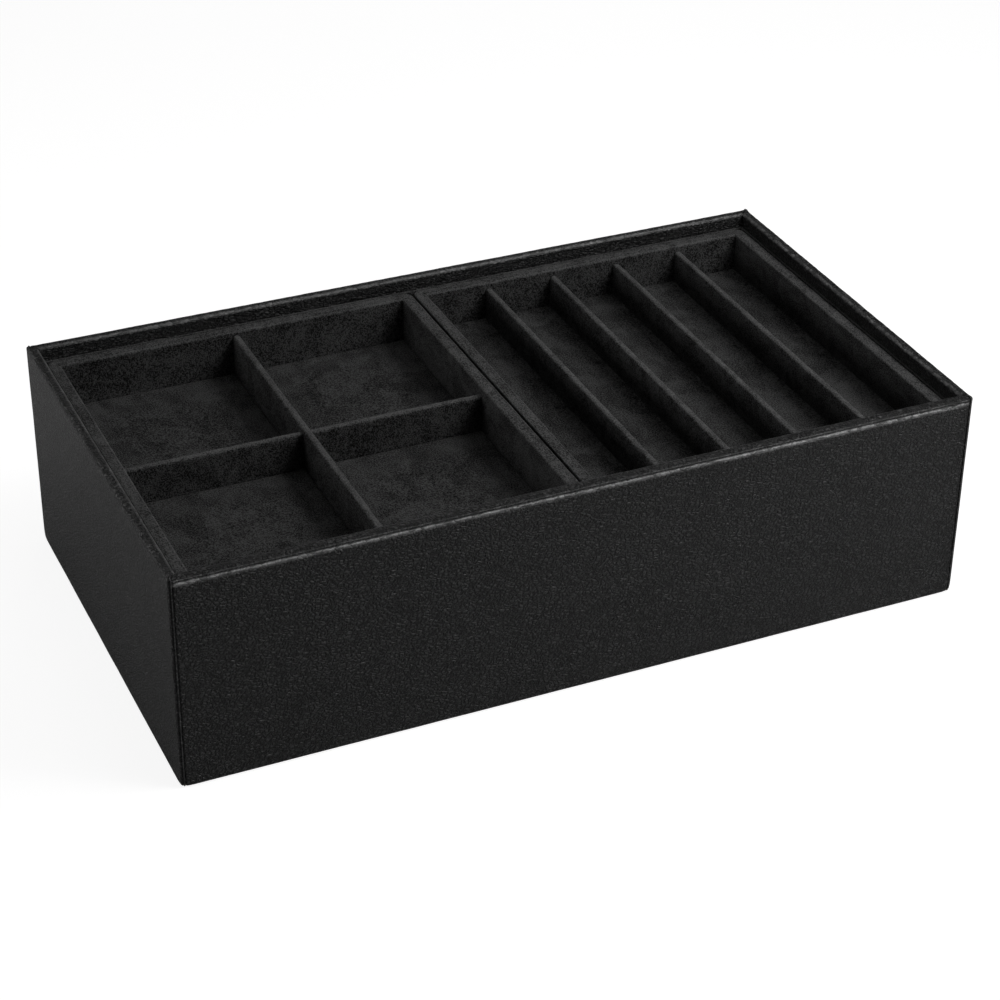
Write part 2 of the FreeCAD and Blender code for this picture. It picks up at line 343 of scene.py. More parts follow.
def straight_run(along: Array, inward: float) -> Tuple[Array, Array]:
    """A straight run along a wall.

    Args:
        along: Its distances along the wall.
        inward: Its distance inside the outer face.

    Returns:
        Its plan places, and its outward directions.
    """
    return np.stack([along, np.full_like(along, inward)], axis=-1), np.tile((0.0, -1.0), (len(along), 1))


@dataclass(frozen=True)
class Ring:
    """The plan of a cover that runs round a rounded rectangle."""

    box: Box
    corner: float
    step: float
    corner_steps: int = 8
    ends: Tuple[float, ...] = (0.0, 0.002, 0.006, 0.012)

    def at(self, inward: float) -> Tuple[Array, Array]:
        """The loop at a distance inside the outer face.

        Args:
            inward: The distance.

        Returns:
            The loop's places, and its outward directions, both as X and Y.
        """
        places, outs = [], []
        centre = max(self.corner, inward)
        radius = max(self.corner - inward, 0.0)
        for side in Side:
            length = side.length(self.box)
            share = graded(1.0, self.step / length, self.ends)
            straight, out = straight_run(centre + share * (length - 2.0 * centre), inward)
            angles = np.radians(np.linspace(0.0, 90.0, self.corner_steps + 1))[1:-1]
            swing = np.stack([np.sin(angles), -np.cos(angles)], axis=-1)
            bend = np.array((length - centre, centre)) + radius * swing
            places.append(side.placed(np.concatenate([straight, bend]), self.box))
            outs.append(side.turned(np.concatenate([out, swing])))
        return np.concatenate(places), np.concatenate(outs)


# Shader effects and finishes


class Wiring:
    """A node tree, with short ways to add and join its nodes."""

    def __init__(self, tree: bpy.types.NodeTree) -> None:
        """Keeps the tree."""
        self.tree = tree

    @classmethod
    def emptied(cls, owner: Union[bpy.types.Material, bpy.types.World]) -> "Wiring":
        """Clears the nodes of a material or a world.

        Args:
            owner: The material or the world.

        Returns:
            Its wiring.
        """
        owner.use_nodes = True
        owner.node_tree.nodes.clear()
        return cls(owner.node_tree)

    def feed(self, target: Socket, value: Value) -> None:
        """Links a socket to an input, or sets the input's own value.

        Args:
            target: The input.
            value: The socket or the value.
        """
        if isinstance(value, bpy.types.NodeSocket):
            self.tree.links.new(value, target)
        else:
            target.default_value = value

    def add(self, kind: str, inputs: Optional[Dict[Union[str, int], Value]] = None,
            **settings: object) -> bpy.types.Node:
        """Adds one node.

        Args:
            kind: The node's type.
            inputs: Values or sockets for its inputs, by name or number.
            **settings: The node's own properties.

        Returns:
            The node.
        """
        node = self.tree.nodes.new(kind)
        for name, setting in settings.items():
            setattr(node, name, setting)
        for name, value in (inputs or {}).items():
            self.feed(node.inputs[name], value)
        return node

    def made(self, kind: str, inputs: Optional[Dict[Union[str, int], Value]] = None,
             **settings: object) -> Socket:
        """Adds one node and gives its first output."""
        return self.add(kind, inputs, **settings).outputs[0]

    def math(self, operation: str, *values: Value, clamped: bool = False) -> Socket:
        """Adds a calculation and gives its result."""
        return self.made("ShaderNodeMath", dict(enumerate(values)), operation=operation, use_clamp=clamped)

    def times(self, first: Value, second: Value) -> Socket:
        """Multiplies two values."""
        return self.math("MULTIPLY", first, second)

    def line(self, value: Value, slope: Value, start: Value, clamped: bool = False) -> Socket:
        """Multiplies a value by a slope and adds a start."""
        return self.math("MULTIPLY_ADD", value, slope, start, clamped=clamped)

    def weighed(self, share: float, first: Value, second: Value) -> Socket:
        """Adds a share of one value to the rest of another."""
        return self.line(first, share, self.times(second, 1.0 - share))

    def vector(self, operation: str, *values: Value, scale: Optional[Value] = None) -> Socket:
        """Adds a vector calculation.

        Args:
            operation: Its kind.
            *values: Its vectors.
            scale: Its scale, where it has one.

        Returns:
            Its result.
        """
        node = self.add("ShaderNodeVectorMath", dict(enumerate(values)), operation=operation)
        if scale is not None:
            self.feed(node.inputs["Scale"], scale)
        return node.outputs[0]

    def ranged(self, value: Value, low: Value, high: Value, to_low: Value = 0.0,
               to_high: Value = 1.0) -> Socket:
        """Eases a value from one range to another and gives the result."""
        return self.made("ShaderNodeMapRange", {0: value, 1: low, 2: high, 3: to_low, 4: to_high},
                         interpolation_type="SMOOTHSTEP")

    def noise(self, place: Value, scale: Value, detail: float = 2.0, roughness: float = 0.5,
              distortion: float = 0.0) -> bpy.types.Node:
        """Adds a noise texture."""
        return self.add("ShaderNodeTexNoise", {"Vector": place, "Scale": scale, "Detail": detail,
                                               "Roughness": roughness, "Distortion": distortion})

    def strayed(self, place: Value, source: Value, rate: Value, detail: float, reach: Value) -> Socket:
        """Moves places by a noise.

        Args:
            place: The places.
            source: Where the noise is read.
            rate: The noise's scale.
            detail: The noise's detail.
            reach: How far it moves them.

        Returns:
            The moved places.
        """
        drift = self.noise(source, rate, detail).outputs["Color"]
        centred = self.vector("SUBTRACT", drift, (0.5, 0.5, 0.5))
        return self.vector("ADD", place, self.vector("SCALE", centred, scale=reach))

    def cells(self, place: Value, scale: Value, feature: str) -> bpy.types.Node:
        """Adds a texture of random cells."""
        return self.add("ShaderNodeTexVoronoi", {"Vector": place, "Scale": scale}, feature=feature)

    def blend(self, share: Value, first: Value, second: Value) -> Socket:
        """Mixes two colours and gives the result."""
        node = self.add("ShaderNodeMix", {0: share, 6: first, 7: second}, data_type="RGBA")
        return node.outputs[2]


class Effect:
    """A shader node group that several materials share, built when it is first asked for."""

    label = "effect"
    sizes: Dict[str, float] = {}
    results: Sequence[str] = ()
    _made: Dict[str, bpy.types.NodeTree] = {}

    @classmethod
    def tree(cls) -> bpy.types.NodeTree:
        """The group, with its named inputs and outputs.

        Returns:
            The one group that every material with this effect uses.
        """
        if cls.label not in cls._made:
            group = bpy.data.node_groups.new(cls.label, "ShaderNodeTree")
            group.interface.new_socket(name="Place", in_out="INPUT", socket_type="NodeSocketVector")
            for name, size in cls.sizes.items():
                socket = group.interface.new_socket(name=name, in_out="INPUT", socket_type="NodeSocketFloat")
                socket.default_value = size
            for name in cls.results:
                group.interface.new_socket(name=name, in_out="OUTPUT", socket_type="NodeSocketFloat")
            wires = Wiring(group)
            given = wires.add("NodeGroupInput")
            wires.add("NodeGroupOutput", cls.wire(wires, given.outputs))
            cls._made[cls.label] = group
        return cls._made[cls.label]

    @classmethod
    def wire(cls, wires: Wiring, given: Outputs) -> Dict[str, Socket]:
        """Fills the group.

        Args:
            wires: The group's wiring.
            given: Its inputs: Place, and the sizes by name.

        Returns:
            Its results by name.
        """
        raise NotImplementedError


class PebbleGrain(Effect):
    """Rounded pebbles of leather grain with fine creases between and over them."""

    label = "pebble_grain"
    sizes = {"Pebble": 0.0014, "Warp": 0.9, "Crease": 0.34}
    results = ("Height", "Valley", "Tone")
    lie = (0.6, 0.6, 1.0)
    stray_ratio = 0.8
    fine_ratio = 2.3
    fine_crease = 0.22
    fine_height = 0.25
    lowest_pebble = 0.7
    broad_rate = 45.0
    pebble_tone = 0.7

    @classmethod
    def wire(cls, wires: Wiring, given: Outputs) -> Dict[str, Socket]:
        """Fills the group.

        Args:
            wires: The group's wiring.
            given: Its inputs.

        Returns:
            Its results by name.
        """
        rate = wires.math("DIVIDE", 1.0, given["Pebble"])
        stretched = wires.vector("MULTIPLY", given["Place"], cls.lie)
        place = wires.strayed(stretched, given["Place"], wires.times(rate, cls.stray_ratio), detail=2.0,
                              reach=wires.times(given["Pebble"], given["Warp"]))
        edge = wires.cells(place, rate, "DISTANCE_TO_EDGE").outputs["Distance"]
        pebble = wires.ranged(edge, 0.0, given["Crease"])
        patch = wires.cells(place, rate, "F1").outputs["Color"]
        shade = wires.made("ShaderNodeSeparateColor", {0: patch})
        fine_edge = wires.cells(place, wires.times(rate, cls.fine_ratio), "DISTANCE_TO_EDGE")
        fine = wires.ranged(fine_edge.outputs["Distance"], 0.0, cls.fine_crease)
        body = wires.times(pebble, wires.line(shade, 1.0 - cls.lowest_pebble, cls.lowest_pebble))
        broad = wires.noise(given["Place"], cls.broad_rate, detail=3.0).outputs[0]
        return {"Height": wires.line(fine, cls.fine_height, body),
                "Valley": wires.math("SUBTRACT", 1.0, pebble),
                "Tone": wires.weighed(cls.pebble_tone, shade, broad)}


class BrushedNap(Effect):
    """Brushed fibres that lie in patches and streaks."""

    label = "brushed_nap"
    sizes = {"Patch": 0.014, "Streak": 0.005, "Fibre": 0.0008}
    results = ("Height", "Tone")
    lie = {"Rotation": (0.35, 0.5, 0.6), "Scale": (1.0, 0.25, 1.0)}
    contrast = (0.3, 0.7)
    streak_height = 0.2
    patch_tone = 0.45
    streak_tone = 0.25
    fibre_tone = 1.3
    tone_start = -0.5

    @classmethod
    def wire(cls, wires: Wiring, given: Outputs) -> Dict[str, Socket]:
        """Fills the group.

        Args:
            wires: The group's wiring.
            given: Its inputs.

        Returns:
            Its results by name.
        """
        rates = {name: wires.math("DIVIDE", 1.0, given[name]) for name in cls.sizes}
        lain = wires.made("ShaderNodeMapping", {"Vector": given["Place"], **cls.lie})
        patch = wires.noise(given["Place"], rates["Patch"], detail=3.0, roughness=0.6, distortion=0.8)
        streak = wires.noise(lain, rates["Streak"], detail=3.0, roughness=0.65, distortion=0.3)
        fibre = wires.noise(given["Place"], rates["Fibre"], detail=2.0, roughness=0.7)
        broad, lines, nap = (wires.ranged(part.outputs[0], *cls.contrast) for part in (patch, streak, fibre))
        tone = wires.line(broad, cls.patch_tone, wires.line(lines, cls.streak_tone, cls.tone_start))
        return {"Height": wires.weighed(cls.streak_height, lines, nap),
                "Tone": wires.line(nap, cls.fibre_tone, tone, clamped=True)}


class PlainWeave(Effect):
    """Threads that pass over and under each other."""

    label = "plain_weave"
    sizes = {"Thread": 0.0005}
    results = ("Height", "Tone")
    stray_rate = 900.0
    stray = 0.00012
    slub_rate = 260.0
    thread_tone = 0.45

    @classmethod
    def wire(cls, wires: Wiring, given: Outputs) -> Dict[str, Socket]:
        """Fills the group.

        Args:
            wires: The group's wiring.
            given: Its inputs.

        Returns:
            Its results by name.
        """
        place = wires.strayed(given["Place"], given["Place"], cls.stray_rate, detail=1.0, reach=cls.stray)
        parts = wires.add("ShaderNodeSeparateXYZ", {0: place}).outputs
        rate = wires.math("DIVIDE", math.pi, given["Thread"])
        across, along = (wires.math("SINE", wires.times(parts[axis], rate)) for axis in (0, 1))
        over = wires.math("GREATER_THAN", wires.times(across, along), 0.0)
        first = wires.times(wires.math("ABSOLUTE", across), over)
        second = wires.times(wires.math("ABSOLUTE", along), wires.math("SUBTRACT", 1.0, over))
        slub = wires.noise(place, cls.slub_rate, detail=3.0).outputs[0]
        height = wires.math("ADD", first, second)
        return {"Height": height, "Tone": wires.weighed(cls.thread_tone, height, slub)}


class PressedFibre(Effect):
    """Short fibres and flecks pressed into board."""

    label = "pressed_fibre"
    sizes = {"Fleck": 0.0022}
    results = ("Height", "Tone")
    lie = {"Rotation": (0.2, 0.1, 0.7), "Scale": (1.0, 3.2, 1.8)}
    fleck_reach = (0.1, 0.55)
    pulp_ratio = 3.0
    fleck_tone = 0.35

    @classmethod
    def wire(cls, wires: Wiring, given: Outputs) -> Dict[str, Socket]:
        """Fills the group.

        Args:
            wires: The group's wiring.
            given: Its inputs.

        Returns:
            Its results by name.
        """
        rate = wires.math("DIVIDE", 1.0, given["Fleck"])
        lain = wires.made("ShaderNodeMapping", {"Vector": given["Place"], **cls.lie})
        fleck = wires.ranged(wires.cells(lain, rate, "F1").outputs["Distance"], *cls.fleck_reach)
        pulp = wires.noise(given["Place"], wires.times(rate, cls.pulp_ratio), detail=4.0, roughness=0.65)
        return {"Height": pulp.outputs[0], "Tone": wires.weighed(cls.fleck_tone, fleck, pulp.outputs[0])}


def grey(level: float, warmth: float = 0.0) -> Colour:
    """A grey, a little redder and less blue with warmth."""
    return (level * (1.0 + warmth), level, level * (1.0 - warmth), 1.0)


class Surface:
    """A Principled material that reads one effect on the piece's own coordinates."""

    def __init__(self, name: str, effect: type, sizes: Dict[str, float]) -> None:
        """Starts the material.

        Args:
            name: Its name.
            effect: The effect.
            sizes: The effect's sizes by name.
        """
        self.material = bpy.data.materials.new(name)
        self.wires = Wiring.emptied(self.material)
        self.shader = self.wires.add("ShaderNodeBsdfPrincipled")
        self.wires.add("ShaderNodeOutputMaterial", {"Surface": self.shader.outputs[0]})
        place = self.wires.add("ShaderNodeTexCoord").outputs["Object"]
        group = self.wires.add("ShaderNodeGroup", {"Place": place, **sizes}, node_tree=effect.tree())
        self.made: Outputs = group.outputs

    def highlight_and_rub(self) -> Socket:
        """How much the piece gets the painted highlight and the rub, read from its attribute."""
        return self.wires.add("ShaderNodeAttribute", attribute_name="highlight_and_rub").outputs["Fac"]

    def finish(self, colour: Socket, roughness: Socket, height: Socket, relief: float, strength: float,
               held: Dict[str, Value]) -> bpy.types.Material:
        """Feeds the shader what varies and sets what doesn't.

        Args:
            colour: The base colour.
            roughness: The roughness.
            height: The bump's height.
            relief: The bump's distance.
            strength: The bump's strength.
            held: Constant inputs of the shader by name.

        Returns:
            The finished material.
        """
        bump = self.wires.add("ShaderNodeBump", {"Strength": strength, "Distance": relief, "Height": height})
        varied = {"Base Color": colour, "Roughness": roughness, "Normal": bump.outputs[0]}
        for name, value in {**varied, **held}.items():
            self.wires.feed(self.shader.inputs[name], value)
        return self.material


@dataclass(frozen=True)
class PebbledLeather:
    """Black pebbled leather with painted shade in its creases; a painted highlight pales it where it runs
    over an edge, and there it is also flatter and smoother.
    """

    name: str
    dark: float = 0.008
    light: float = 0.05
    # Share of the dark grey that the creases get, a painted shade.
    painted_crease_shade: float = 0.2
    pebble: float = 0.0014
    relief: float = 0.0007
    roughness: float = 0.31
    valley_roughness: float = 0.05
    tone_roughness: float = 0.08
    # Grey of the painted highlight.
    painted_highlight: float = 0.42
    rubbed_roughness: float = 0.25
    rubbed_flat: float = 0.35
    rubbed_grain: float = 0.25
    index: float = 1.45
    gloss: float = 0.4

    def material(self) -> bpy.types.Material:
        """The finish as a material.

        Returns:
            The material.
        """
        surface = Surface(self.name, PebbleGrain, {"Pebble": self.pebble})
        wires, grain, highlight_and_rub = surface.wires, surface.made, surface.highlight_and_rub()
        # Painted highlight: the grey rises towards the highlight grey where the piece is marked for it.
        top = wires.blend(highlight_and_rub, grey(self.light), grey(self.painted_highlight))
        lit = wires.blend(grain["Tone"], grey(self.dark), top)
        flat = wires.ranged(highlight_and_rub, 0.0, self.rubbed_flat, 1.0, self.rubbed_grain)
        # Painted shade: the grain's creases darken towards a share of the dark grey, less where the edge is
        # rubbed flat.
        colour = wires.blend(wires.times(grain["Valley"], flat), lit, grey(self.dark * self.painted_crease_shade))
        rough = wires.line(grain["Valley"], self.valley_roughness, self.roughness)
        rough = wires.line(grain["Tone"], self.tone_roughness, rough)
        rough = wires.ranged(highlight_and_rub, 0.0, 1.0, rough, self.rubbed_roughness)
        return surface.finish(colour, rough, wires.times(grain["Height"], flat), self.relief, 1.0,
                              {"IOR": self.index, "Specular IOR Level": self.gloss})


@dataclass(frozen=True)
class BrushedSuede:
    """Black suede or felt with brushed patches, lifted by a painted highlight where the piece is marked for
    it.
    """

    name: str
    dark: float
    light: float
    patch: float = 0.014
    streak: float = 0.005
    fibre: float = 0.00068
    relief: float = 0.0004
    strength: float = 0.8
    tone_roughness: float = -0.12
    # Lift of both greys under the painted highlight.
    painted_highlight: float = 0.03
    gloss: float = 0.1
    sheen: float = 0.06
    sheen_roughness: float = 0.45
    sheen_tint: float = 0.6

    def material(self) -> bpy.types.Material:
        """The finish as a material.

        Returns:
            The material.
        """
        sizes = {"Patch": self.patch, "Streak": self.streak, "Fibre": self.fibre}
        surface = Surface(self.name, BrushedNap, sizes)
        wires, nap, highlight_and_rub = surface.wires, surface.made, surface.highlight_and_rub()
        # Painted highlight: both greys are lifted where the piece is marked for it.
        dark, light = (wires.blend(highlight_and_rub, grey(tone), grey(tone + self.painted_highlight))
                       for tone in (self.dark, self.light))
        rough = wires.line(nap["Tone"], self.tone_roughness, 1.0)
        return surface.finish(wires.blend(nap["Tone"], dark, light), rough, nap["Height"], self.relief,
                              self.strength, {"Specular IOR Level": self.gloss, "Sheen Weight": self.sheen,
                                              "Sheen Roughness": self.sheen_roughness,
                                              "Sheen Tint": grey(self.sheen_tint)})


@dataclass(frozen=True)
class TextureFinish:
    """Plain board or cloth whose look is one effect over two tones."""

    name: str
    effect: type
    dark: Colour
    light: Colour
    size: float
    relief: float
    roughness: float = 0.79
    tone_roughness: float = 0.12
    strength: float = 0.7
    gloss: float = 0.3

    def material(self) -> bpy.types.Material:
        """The finish as a material.

        Returns:
            The material.
        """
        surface = Surface(self.name, self.effect, {next(iter(self.effect.sizes)): self.size})
        tone = surface.made["Tone"]
        rough = surface.wires.line(tone, self.tone_roughness, self.roughness)
        return surface.finish(surface.wires.blend(tone, self.dark, self.light), rough, surface.made["Height"],
                              self.relief, self.strength, {"Specular IOR Level": self.gloss})


class Slot(Enum):
    """The record's material slots, each with the finish that it shows."""

    LEATHER = ("leather", PebbledLeather("black_pebbled_leather"))
    SUEDE = ("suede", BrushedSuede("black_suede", dark=0.003, light=0.08))
    PADDED_SUEDE = ("padded_suede", BrushedSuede("black_floor_suede", dark=0.002, light=0.068, patch=0.018,
                                                 streak=0.007))
    LINING = ("lining_suede", BrushedSuede("black_lining_suede", dark=0.003, light=0.055))
    FELT = ("felt", BrushedSuede("black_underside_felt", dark=0.01, light=0.024, patch=0.03, streak=0.003,
                                 fibre=0.0009))
    TRAY_CLOTH = ("tray_cloth", TextureFinish("black_backing_cloth", PlainWeave, dark=grey(0.006),
                                              light=grey(0.03), size=0.00055, relief=0.00012))
    CASE_BOARD = ("case_board", TextureFinish("fibreboard", PressedFibre, dark=(0.2, 0.125, 0.07, 1.0),
                                              light=(0.36, 0.25, 0.155, 1.0), size=0.0022, relief=0.00008))
    TRAY_BOARD = ("tray_board", TextureFinish("greyboard", PressedFibre, dark=grey(0.14, 0.06),
                                              light=grey(0.27, 0.05), size=0.0016, relief=0.00006))

    def material(self) -> bpy.types.Material:
        """The slot's material, made when it is first asked for."""
        finish = self.value[1]
        return bpy.data.materials.get(finish.name) or finish.material()

    def dress(self, piece: Piece) -> None:
        """Gives a piece this slot's material alone.

        Args:
            piece: The piece.
        """
        if not piece.data.materials:
            piece.data.materials.append(None)
        for place in piece.material_slots:
            place.material = self.material()


def hand_over(piece: Piece, body: str, slot: Slot, nodes: Sequence[str]) -> None:
    """Finishes a piece: its material, the body it moves with, and the nodes that it stands for.

    Args:
        piece: The piece, in place.
        body: The body that carries it.
        slot: Its material slot.
        nodes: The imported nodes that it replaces.
    """
    slot.dress(piece)
    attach(piece, body)
    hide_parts(*nodes)
    log.info("%s rides on %s and stands for %d nodes", piece.name, body, len(nodes))


# The case


@dataclass
class LeatherCover:
    """The leather of the case: four panels turned in under the foot and over the rim."""

    rim_round: float = 0.0018
    rim_steps: int = 36
    # Painted highlight and rub on the rim, mouth and foot roundings.
    rim_highlight: float = 0.08
    mouth_round: float = 0.0018
    mouth_steps: int = 10
    mouth_highlight: float = 0.34
    foot_round: float = 0.0014
    foot_steps: int = 7
    foot_highlight: float = 0.04
    corner_round: float = 0.0017
    corner_steps: int = 24
    lap: float = 0.0020
    lap_steps: int = 6
    tuck: float = 0.0005
    thickness: float = 0.0006
    step: float = 0.0011
    ends: Tuple[float, ...] = (0.0, 0.00012, 0.00026, 0.00045, 0.0007, 0.0011, 0.0017, 0.0026)
    under_steps: int = 8
    face_step: float = 0.0035
    face_ends: Tuple[float, ...] = (0.0, 0.0002, 0.0004, 0.00055, 0.0007, 0.0008, 0.0009, 0.001, 0.0011,
                                    0.0012, 0.0014, 0.0018, 0.003)
    inside_near: float = 0.012
    inside_far: float = 0.02
    near_steps: int = 9
    far_steps: int = 5
    rim_step: float = 0.0006
    step_fade: float = 0.004
    other_share: float = 0.12
    ledge_drop: float = 0.0031
    recess_rise: Tuple[float, float] = (-0.0004, 0.0008)
    recess_fall: Tuple[float, float] = (0.0016, 0.0025)
    # The lip and arris mounds place the painted highlight lines on the rim.
    lip: Mound = Mound(0.0, 0.0006)
    arris: Mound = Mound(0.0019, 0.0004, 0.5)
    bead: Mound = Mound(0.00045, 0.00028, 0.00018)
    seam_groove: Mound = Mound(0.00105, 0.00022, 0.0004)
    # Painted highlight along the seam's bead.
    seam_highlight: Mound = Mound(0.00045, 0.00025, 0.35)
    edge_round: float = 0.00028
    edge_drop: float = 0.0005
    tuck_drop: float = 0.00055
    crease: float = 0.0003
    crease_round: float = 0.0006
    fold: Mound = Mound(0.0009, 0.0008, 0.00012)
    peaks: Tuple[Tuple[int, int, float], ...] = ((1, 1, 0.0007), (-1, 1, 0.0004), (1, -1, 0.00035),
                                                 (-1, -1, 0.00015))
    peak_rise: float = 1.6
    peak_share: float = 0.6
    peak_reach: float = 0.0022
    foot_pull: float = 0.0003
    foot_reach: float = 0.0032
    lumps: SoftNoise = SoftNoise(11, 0.018)
    lump_height: float = 0.00005
    ripple: SoftNoise = SoftNoise(23, 0.0024)
    face_ripple: float = 0.00002
    rim_ripple: float = 0.00005
    ripple_rise: Tuple[float, float] = (0.004, 0.003)

    def __post_init__(self) -> None:
        """Reads the case's outside, its wall, its floor and the turned-in leather from the frame."""
        self.box: Box = CAD_BOX
        low = self.box[0]
        self.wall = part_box("left_lining")[0].x - low.x
        self.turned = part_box("underside_cover")[0].x - low.x
        self.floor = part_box("front_lining")[0].z

    def section(self) -> Tuple[Array, ...]:
        """The panels' section, from the turned-in edge round the foot and the rim to the case floor.

        Returns:
            The pen's columns.
        """
        low, high = self.box
        foot, outer, inner, wall, top = self.foot_round, self.rim_round, self.mouth_round, self.wall, high.z
        pen = SectionPen()
        under = np.linspace(self.turned, foot, self.under_steps + 1)[:-1]
        pen.run([(inward, low.z) for inward in under], (0.0, -1.0))
        # The foot, rim and mouth roundings are marked for a painted highlight and a rub.
        pen.turn((foot, low.z + foot), foot, 270.0, 180.0, self.foot_steps, self.foot_highlight)
        face = graded(top - low.z - foot - outer, self.face_step, self.face_ends)
        pen.run([(0.0, low.z + foot + height) for height in face[1:-1]], (-1.0, 0.0))
        pen.turn((outer, top - outer), outer, 180.0, 90.0, self.rim_steps, self.rim_highlight)
        pen.turn((wall - inner, top - inner), inner, 90.0, 0.0, self.mouth_steps, self.mouth_highlight)
        near = np.linspace(top - inner, top - self.inside_near, self.near_steps + 1)[1:]
        far = np.linspace(top - self.inside_far, self.floor, self.far_steps + 1)
        pen.run([(wall, height) for height in np.concatenate([near, far])], (1.0, 0.0))
        return pen.columns()

    def plan(self, side: Side, inward: float) -> Tuple[Array, Array]:
        """Plan of one row of a panel.

        Args:
            side: The wall that the panel covers.
            inward: The row's distance inside the outer face.

        Returns:
            Places along the wall and inward, and outward directions in the same axes.
        """
        length = side.length(self.box)
        share = graded(length, self.step, self.ends) / length
        if side.wide():
            start = max(self.lap - self.tuck, inward)
            return straight_run(start + share * (length - 2.0 * start), inward)
        centre, radius = max(self.corner_round, inward), max(self.corner_round - inward, 0.0)
        lapped = np.linspace(max(self.lap, inward), centre, self.lap_steps + 1)[:-1]
        lap_places, lap_outs = (places[:, ::-1] for places in straight_run(lapped, inward))
        angles = np.radians(np.linspace(0.0, 90.0, self.corner_steps + 1))[:-1]
        swing = -np.stack([np.cos(angles), np.sin(angles)], axis=-1)
        middle, middle_outs = straight_run(centre + share * (length - 2.0 * centre), inward)
        near = np.concatenate([lap_places, centre + radius * swing])
        near_outs = np.concatenate([lap_outs, swing])
        far = np.stack([length - near[::-1, 0], near[::-1, 1]], axis=-1)
        far_outs = np.stack([-near_outs[::-1, 0], near_outs[::-1, 1]], axis=-1)
        return np.concatenate([near, middle, far]), np.concatenate([near_outs, middle_outs, far_outs])

    def edge_shape(self, side: Side, distance: Array, inward: Array) -> Array:
        """How far the leather stands out near a panel's ends.

        Args:
            side: The wall that the panel covers.
            distance: Distance of each point from its row's nearer end.
            inward: Distance of each point inside the outer face.

        Returns:
            Height over the smooth panel.
        """
        mitred = inward > self.lap
        creased = self.crease * (1.0 - smooth(distance / self.crease_round))
        if side.wide():
            tucked = 1.0 - smooth((distance - self.tuck) / self.crease_round)
            return -np.where(mitred, creased, self.tuck_drop * tucked)
        lapped = self.bead.at(distance) - self.seam_groove.at(distance)
        lapped = lapped - self.edge_drop * (1.0 - smooth(distance / self.edge_round))
        return np.where(mitred, self.fold.at(distance) - creased, lapped)

    def rim_shape(self, side: Side, inward: Array, height: Array) -> Tuple[Array, Array]:
        """The step where the panel's edge lies over the rim, and the painted highlight lines along both.

        Args:
            side: The wall that the panel covers.
            inward: The section's inward distances.
            height: The section's heights.

        Returns:
            How far the leather stands out at each place of the section, and how much painted highlight and
            rub it gets there.
        """
        up = height - (self.box[1].z - self.rim_round)
        turn = self.rim_round * np.arctan2(up, self.rim_round - inward)
        walked = self.ledge_drop - self.rim_round + np.where(up > 0.0, turn, up)
        share = np.where(inward <= self.rim_round, 1.0 if side is Side.FRONT else self.other_share, 0.0)
        rise, fall = (smooth((walked - start) / run) for start, run in (self.recess_rise, self.recess_fall))
        # Painted highlight lines on the step's lip and the rim's arris, full on the front and a small share
        # elsewhere.
        highlight_and_rub = np.maximum(self.lip.at(walked), self.arris.at(walked))
        return -rise * (1.0 - fall) * self.rim_step * share, highlight_and_rub * share

    def corner_pushes(self) -> List[Tuple[Vector, Vector, float]]:
        """Where folded corners stand out at the rim and draw in at the foot.

        Returns:
            The corner, the push and its reach, for each.
        """
        low, high = self.box
        pushes = []
        for right, back, peak in self.peaks:
            x, y = (high.x if right > 0 else low.x), (high.y if back > 0 else low.y)
            push = Vector((right, back, self.peak_rise)) * peak * self.peak_share
            pushes.append((Vector((x, y, high.z)), push, self.peak_reach))
            pull = Vector((-right, -back, 1.0)) * self.foot_pull
            pushes.append((Vector((x, y, low.z)), pull, self.foot_reach))
        return pushes

    def panel(self, side: Side) -> Piece:
        """Builds one panel of leather.

        Args:
            side: The wall that it covers.

        Returns:
            The panel.
        """
        section = self.section()
        inward, height, _, _, highlight_and_rub = section
        rows, outs, ends = [], [], []
        for depth in inward:
            places, directions = self.plan(side, depth)
            walked = np.concatenate([[0.0], np.cumsum(np.linalg.norm(np.diff(places, axis=0), axis=-1))])
            rows.append(side.placed(places, self.box))
            outs.append(side.turned(directions))
            ends.append(np.minimum(walked, walked[-1] - walked))
        end = np.array(ends)
        places, outward = swept(np.array(rows), np.array(outs), section)
        depths = np.broadcast_to(inward[:, None], end.shape)
        rim_stand, rim_highlight = self.rim_shape(side, inward, height)
        stand = self.edge_shape(side, end, depths) + rim_stand[:, None] * smooth(end / self.step_fade)
        stand = stand + self.lump_height * self.lumps.at(places)
        drop, run = self.ripple_rise
        rim = smooth((places[..., 2] - (self.box[1].z - drop)) / run)
        stand = stand + (self.face_ripple + self.rim_ripple * rim) * self.ripple.at(places)
        places = places + outward * stand[..., None]
        for corner, push, reach in self.corner_pushes():
            near = np.exp(-np.sum((places - np.array(corner)) ** 2, axis=-1) / reach ** 2)
            places = places + near[..., None] * np.array(push)
        # Marks for the painted highlight and rub: the section's, the rim's lines, and the seam's bead on the
        # side panels.
        painted_highlight = np.broadcast_to(np.maximum(highlight_and_rub, rim_highlight)[:, None], end.shape)
        if not side.wide():
            painted_highlight = np.maximum(painted_highlight, np.where(depths > self.lap, 0.0, self.seam_highlight.at(end)))
        piece = mesh_object(side.name.lower() + "_cover", places.reshape(-1, 3),
                            grid_faces(*end.shape, closed=False), painted_highlight.reshape(-1))
        give_thickness(piece, self.thickness)
        return piece

    def build(self) -> None:
        """Builds and dresses the four panels."""
        for side in Side:
            hand_over(self.panel(side), "case", Slot.LEATHER, [side.name.lower() + "_leather"])


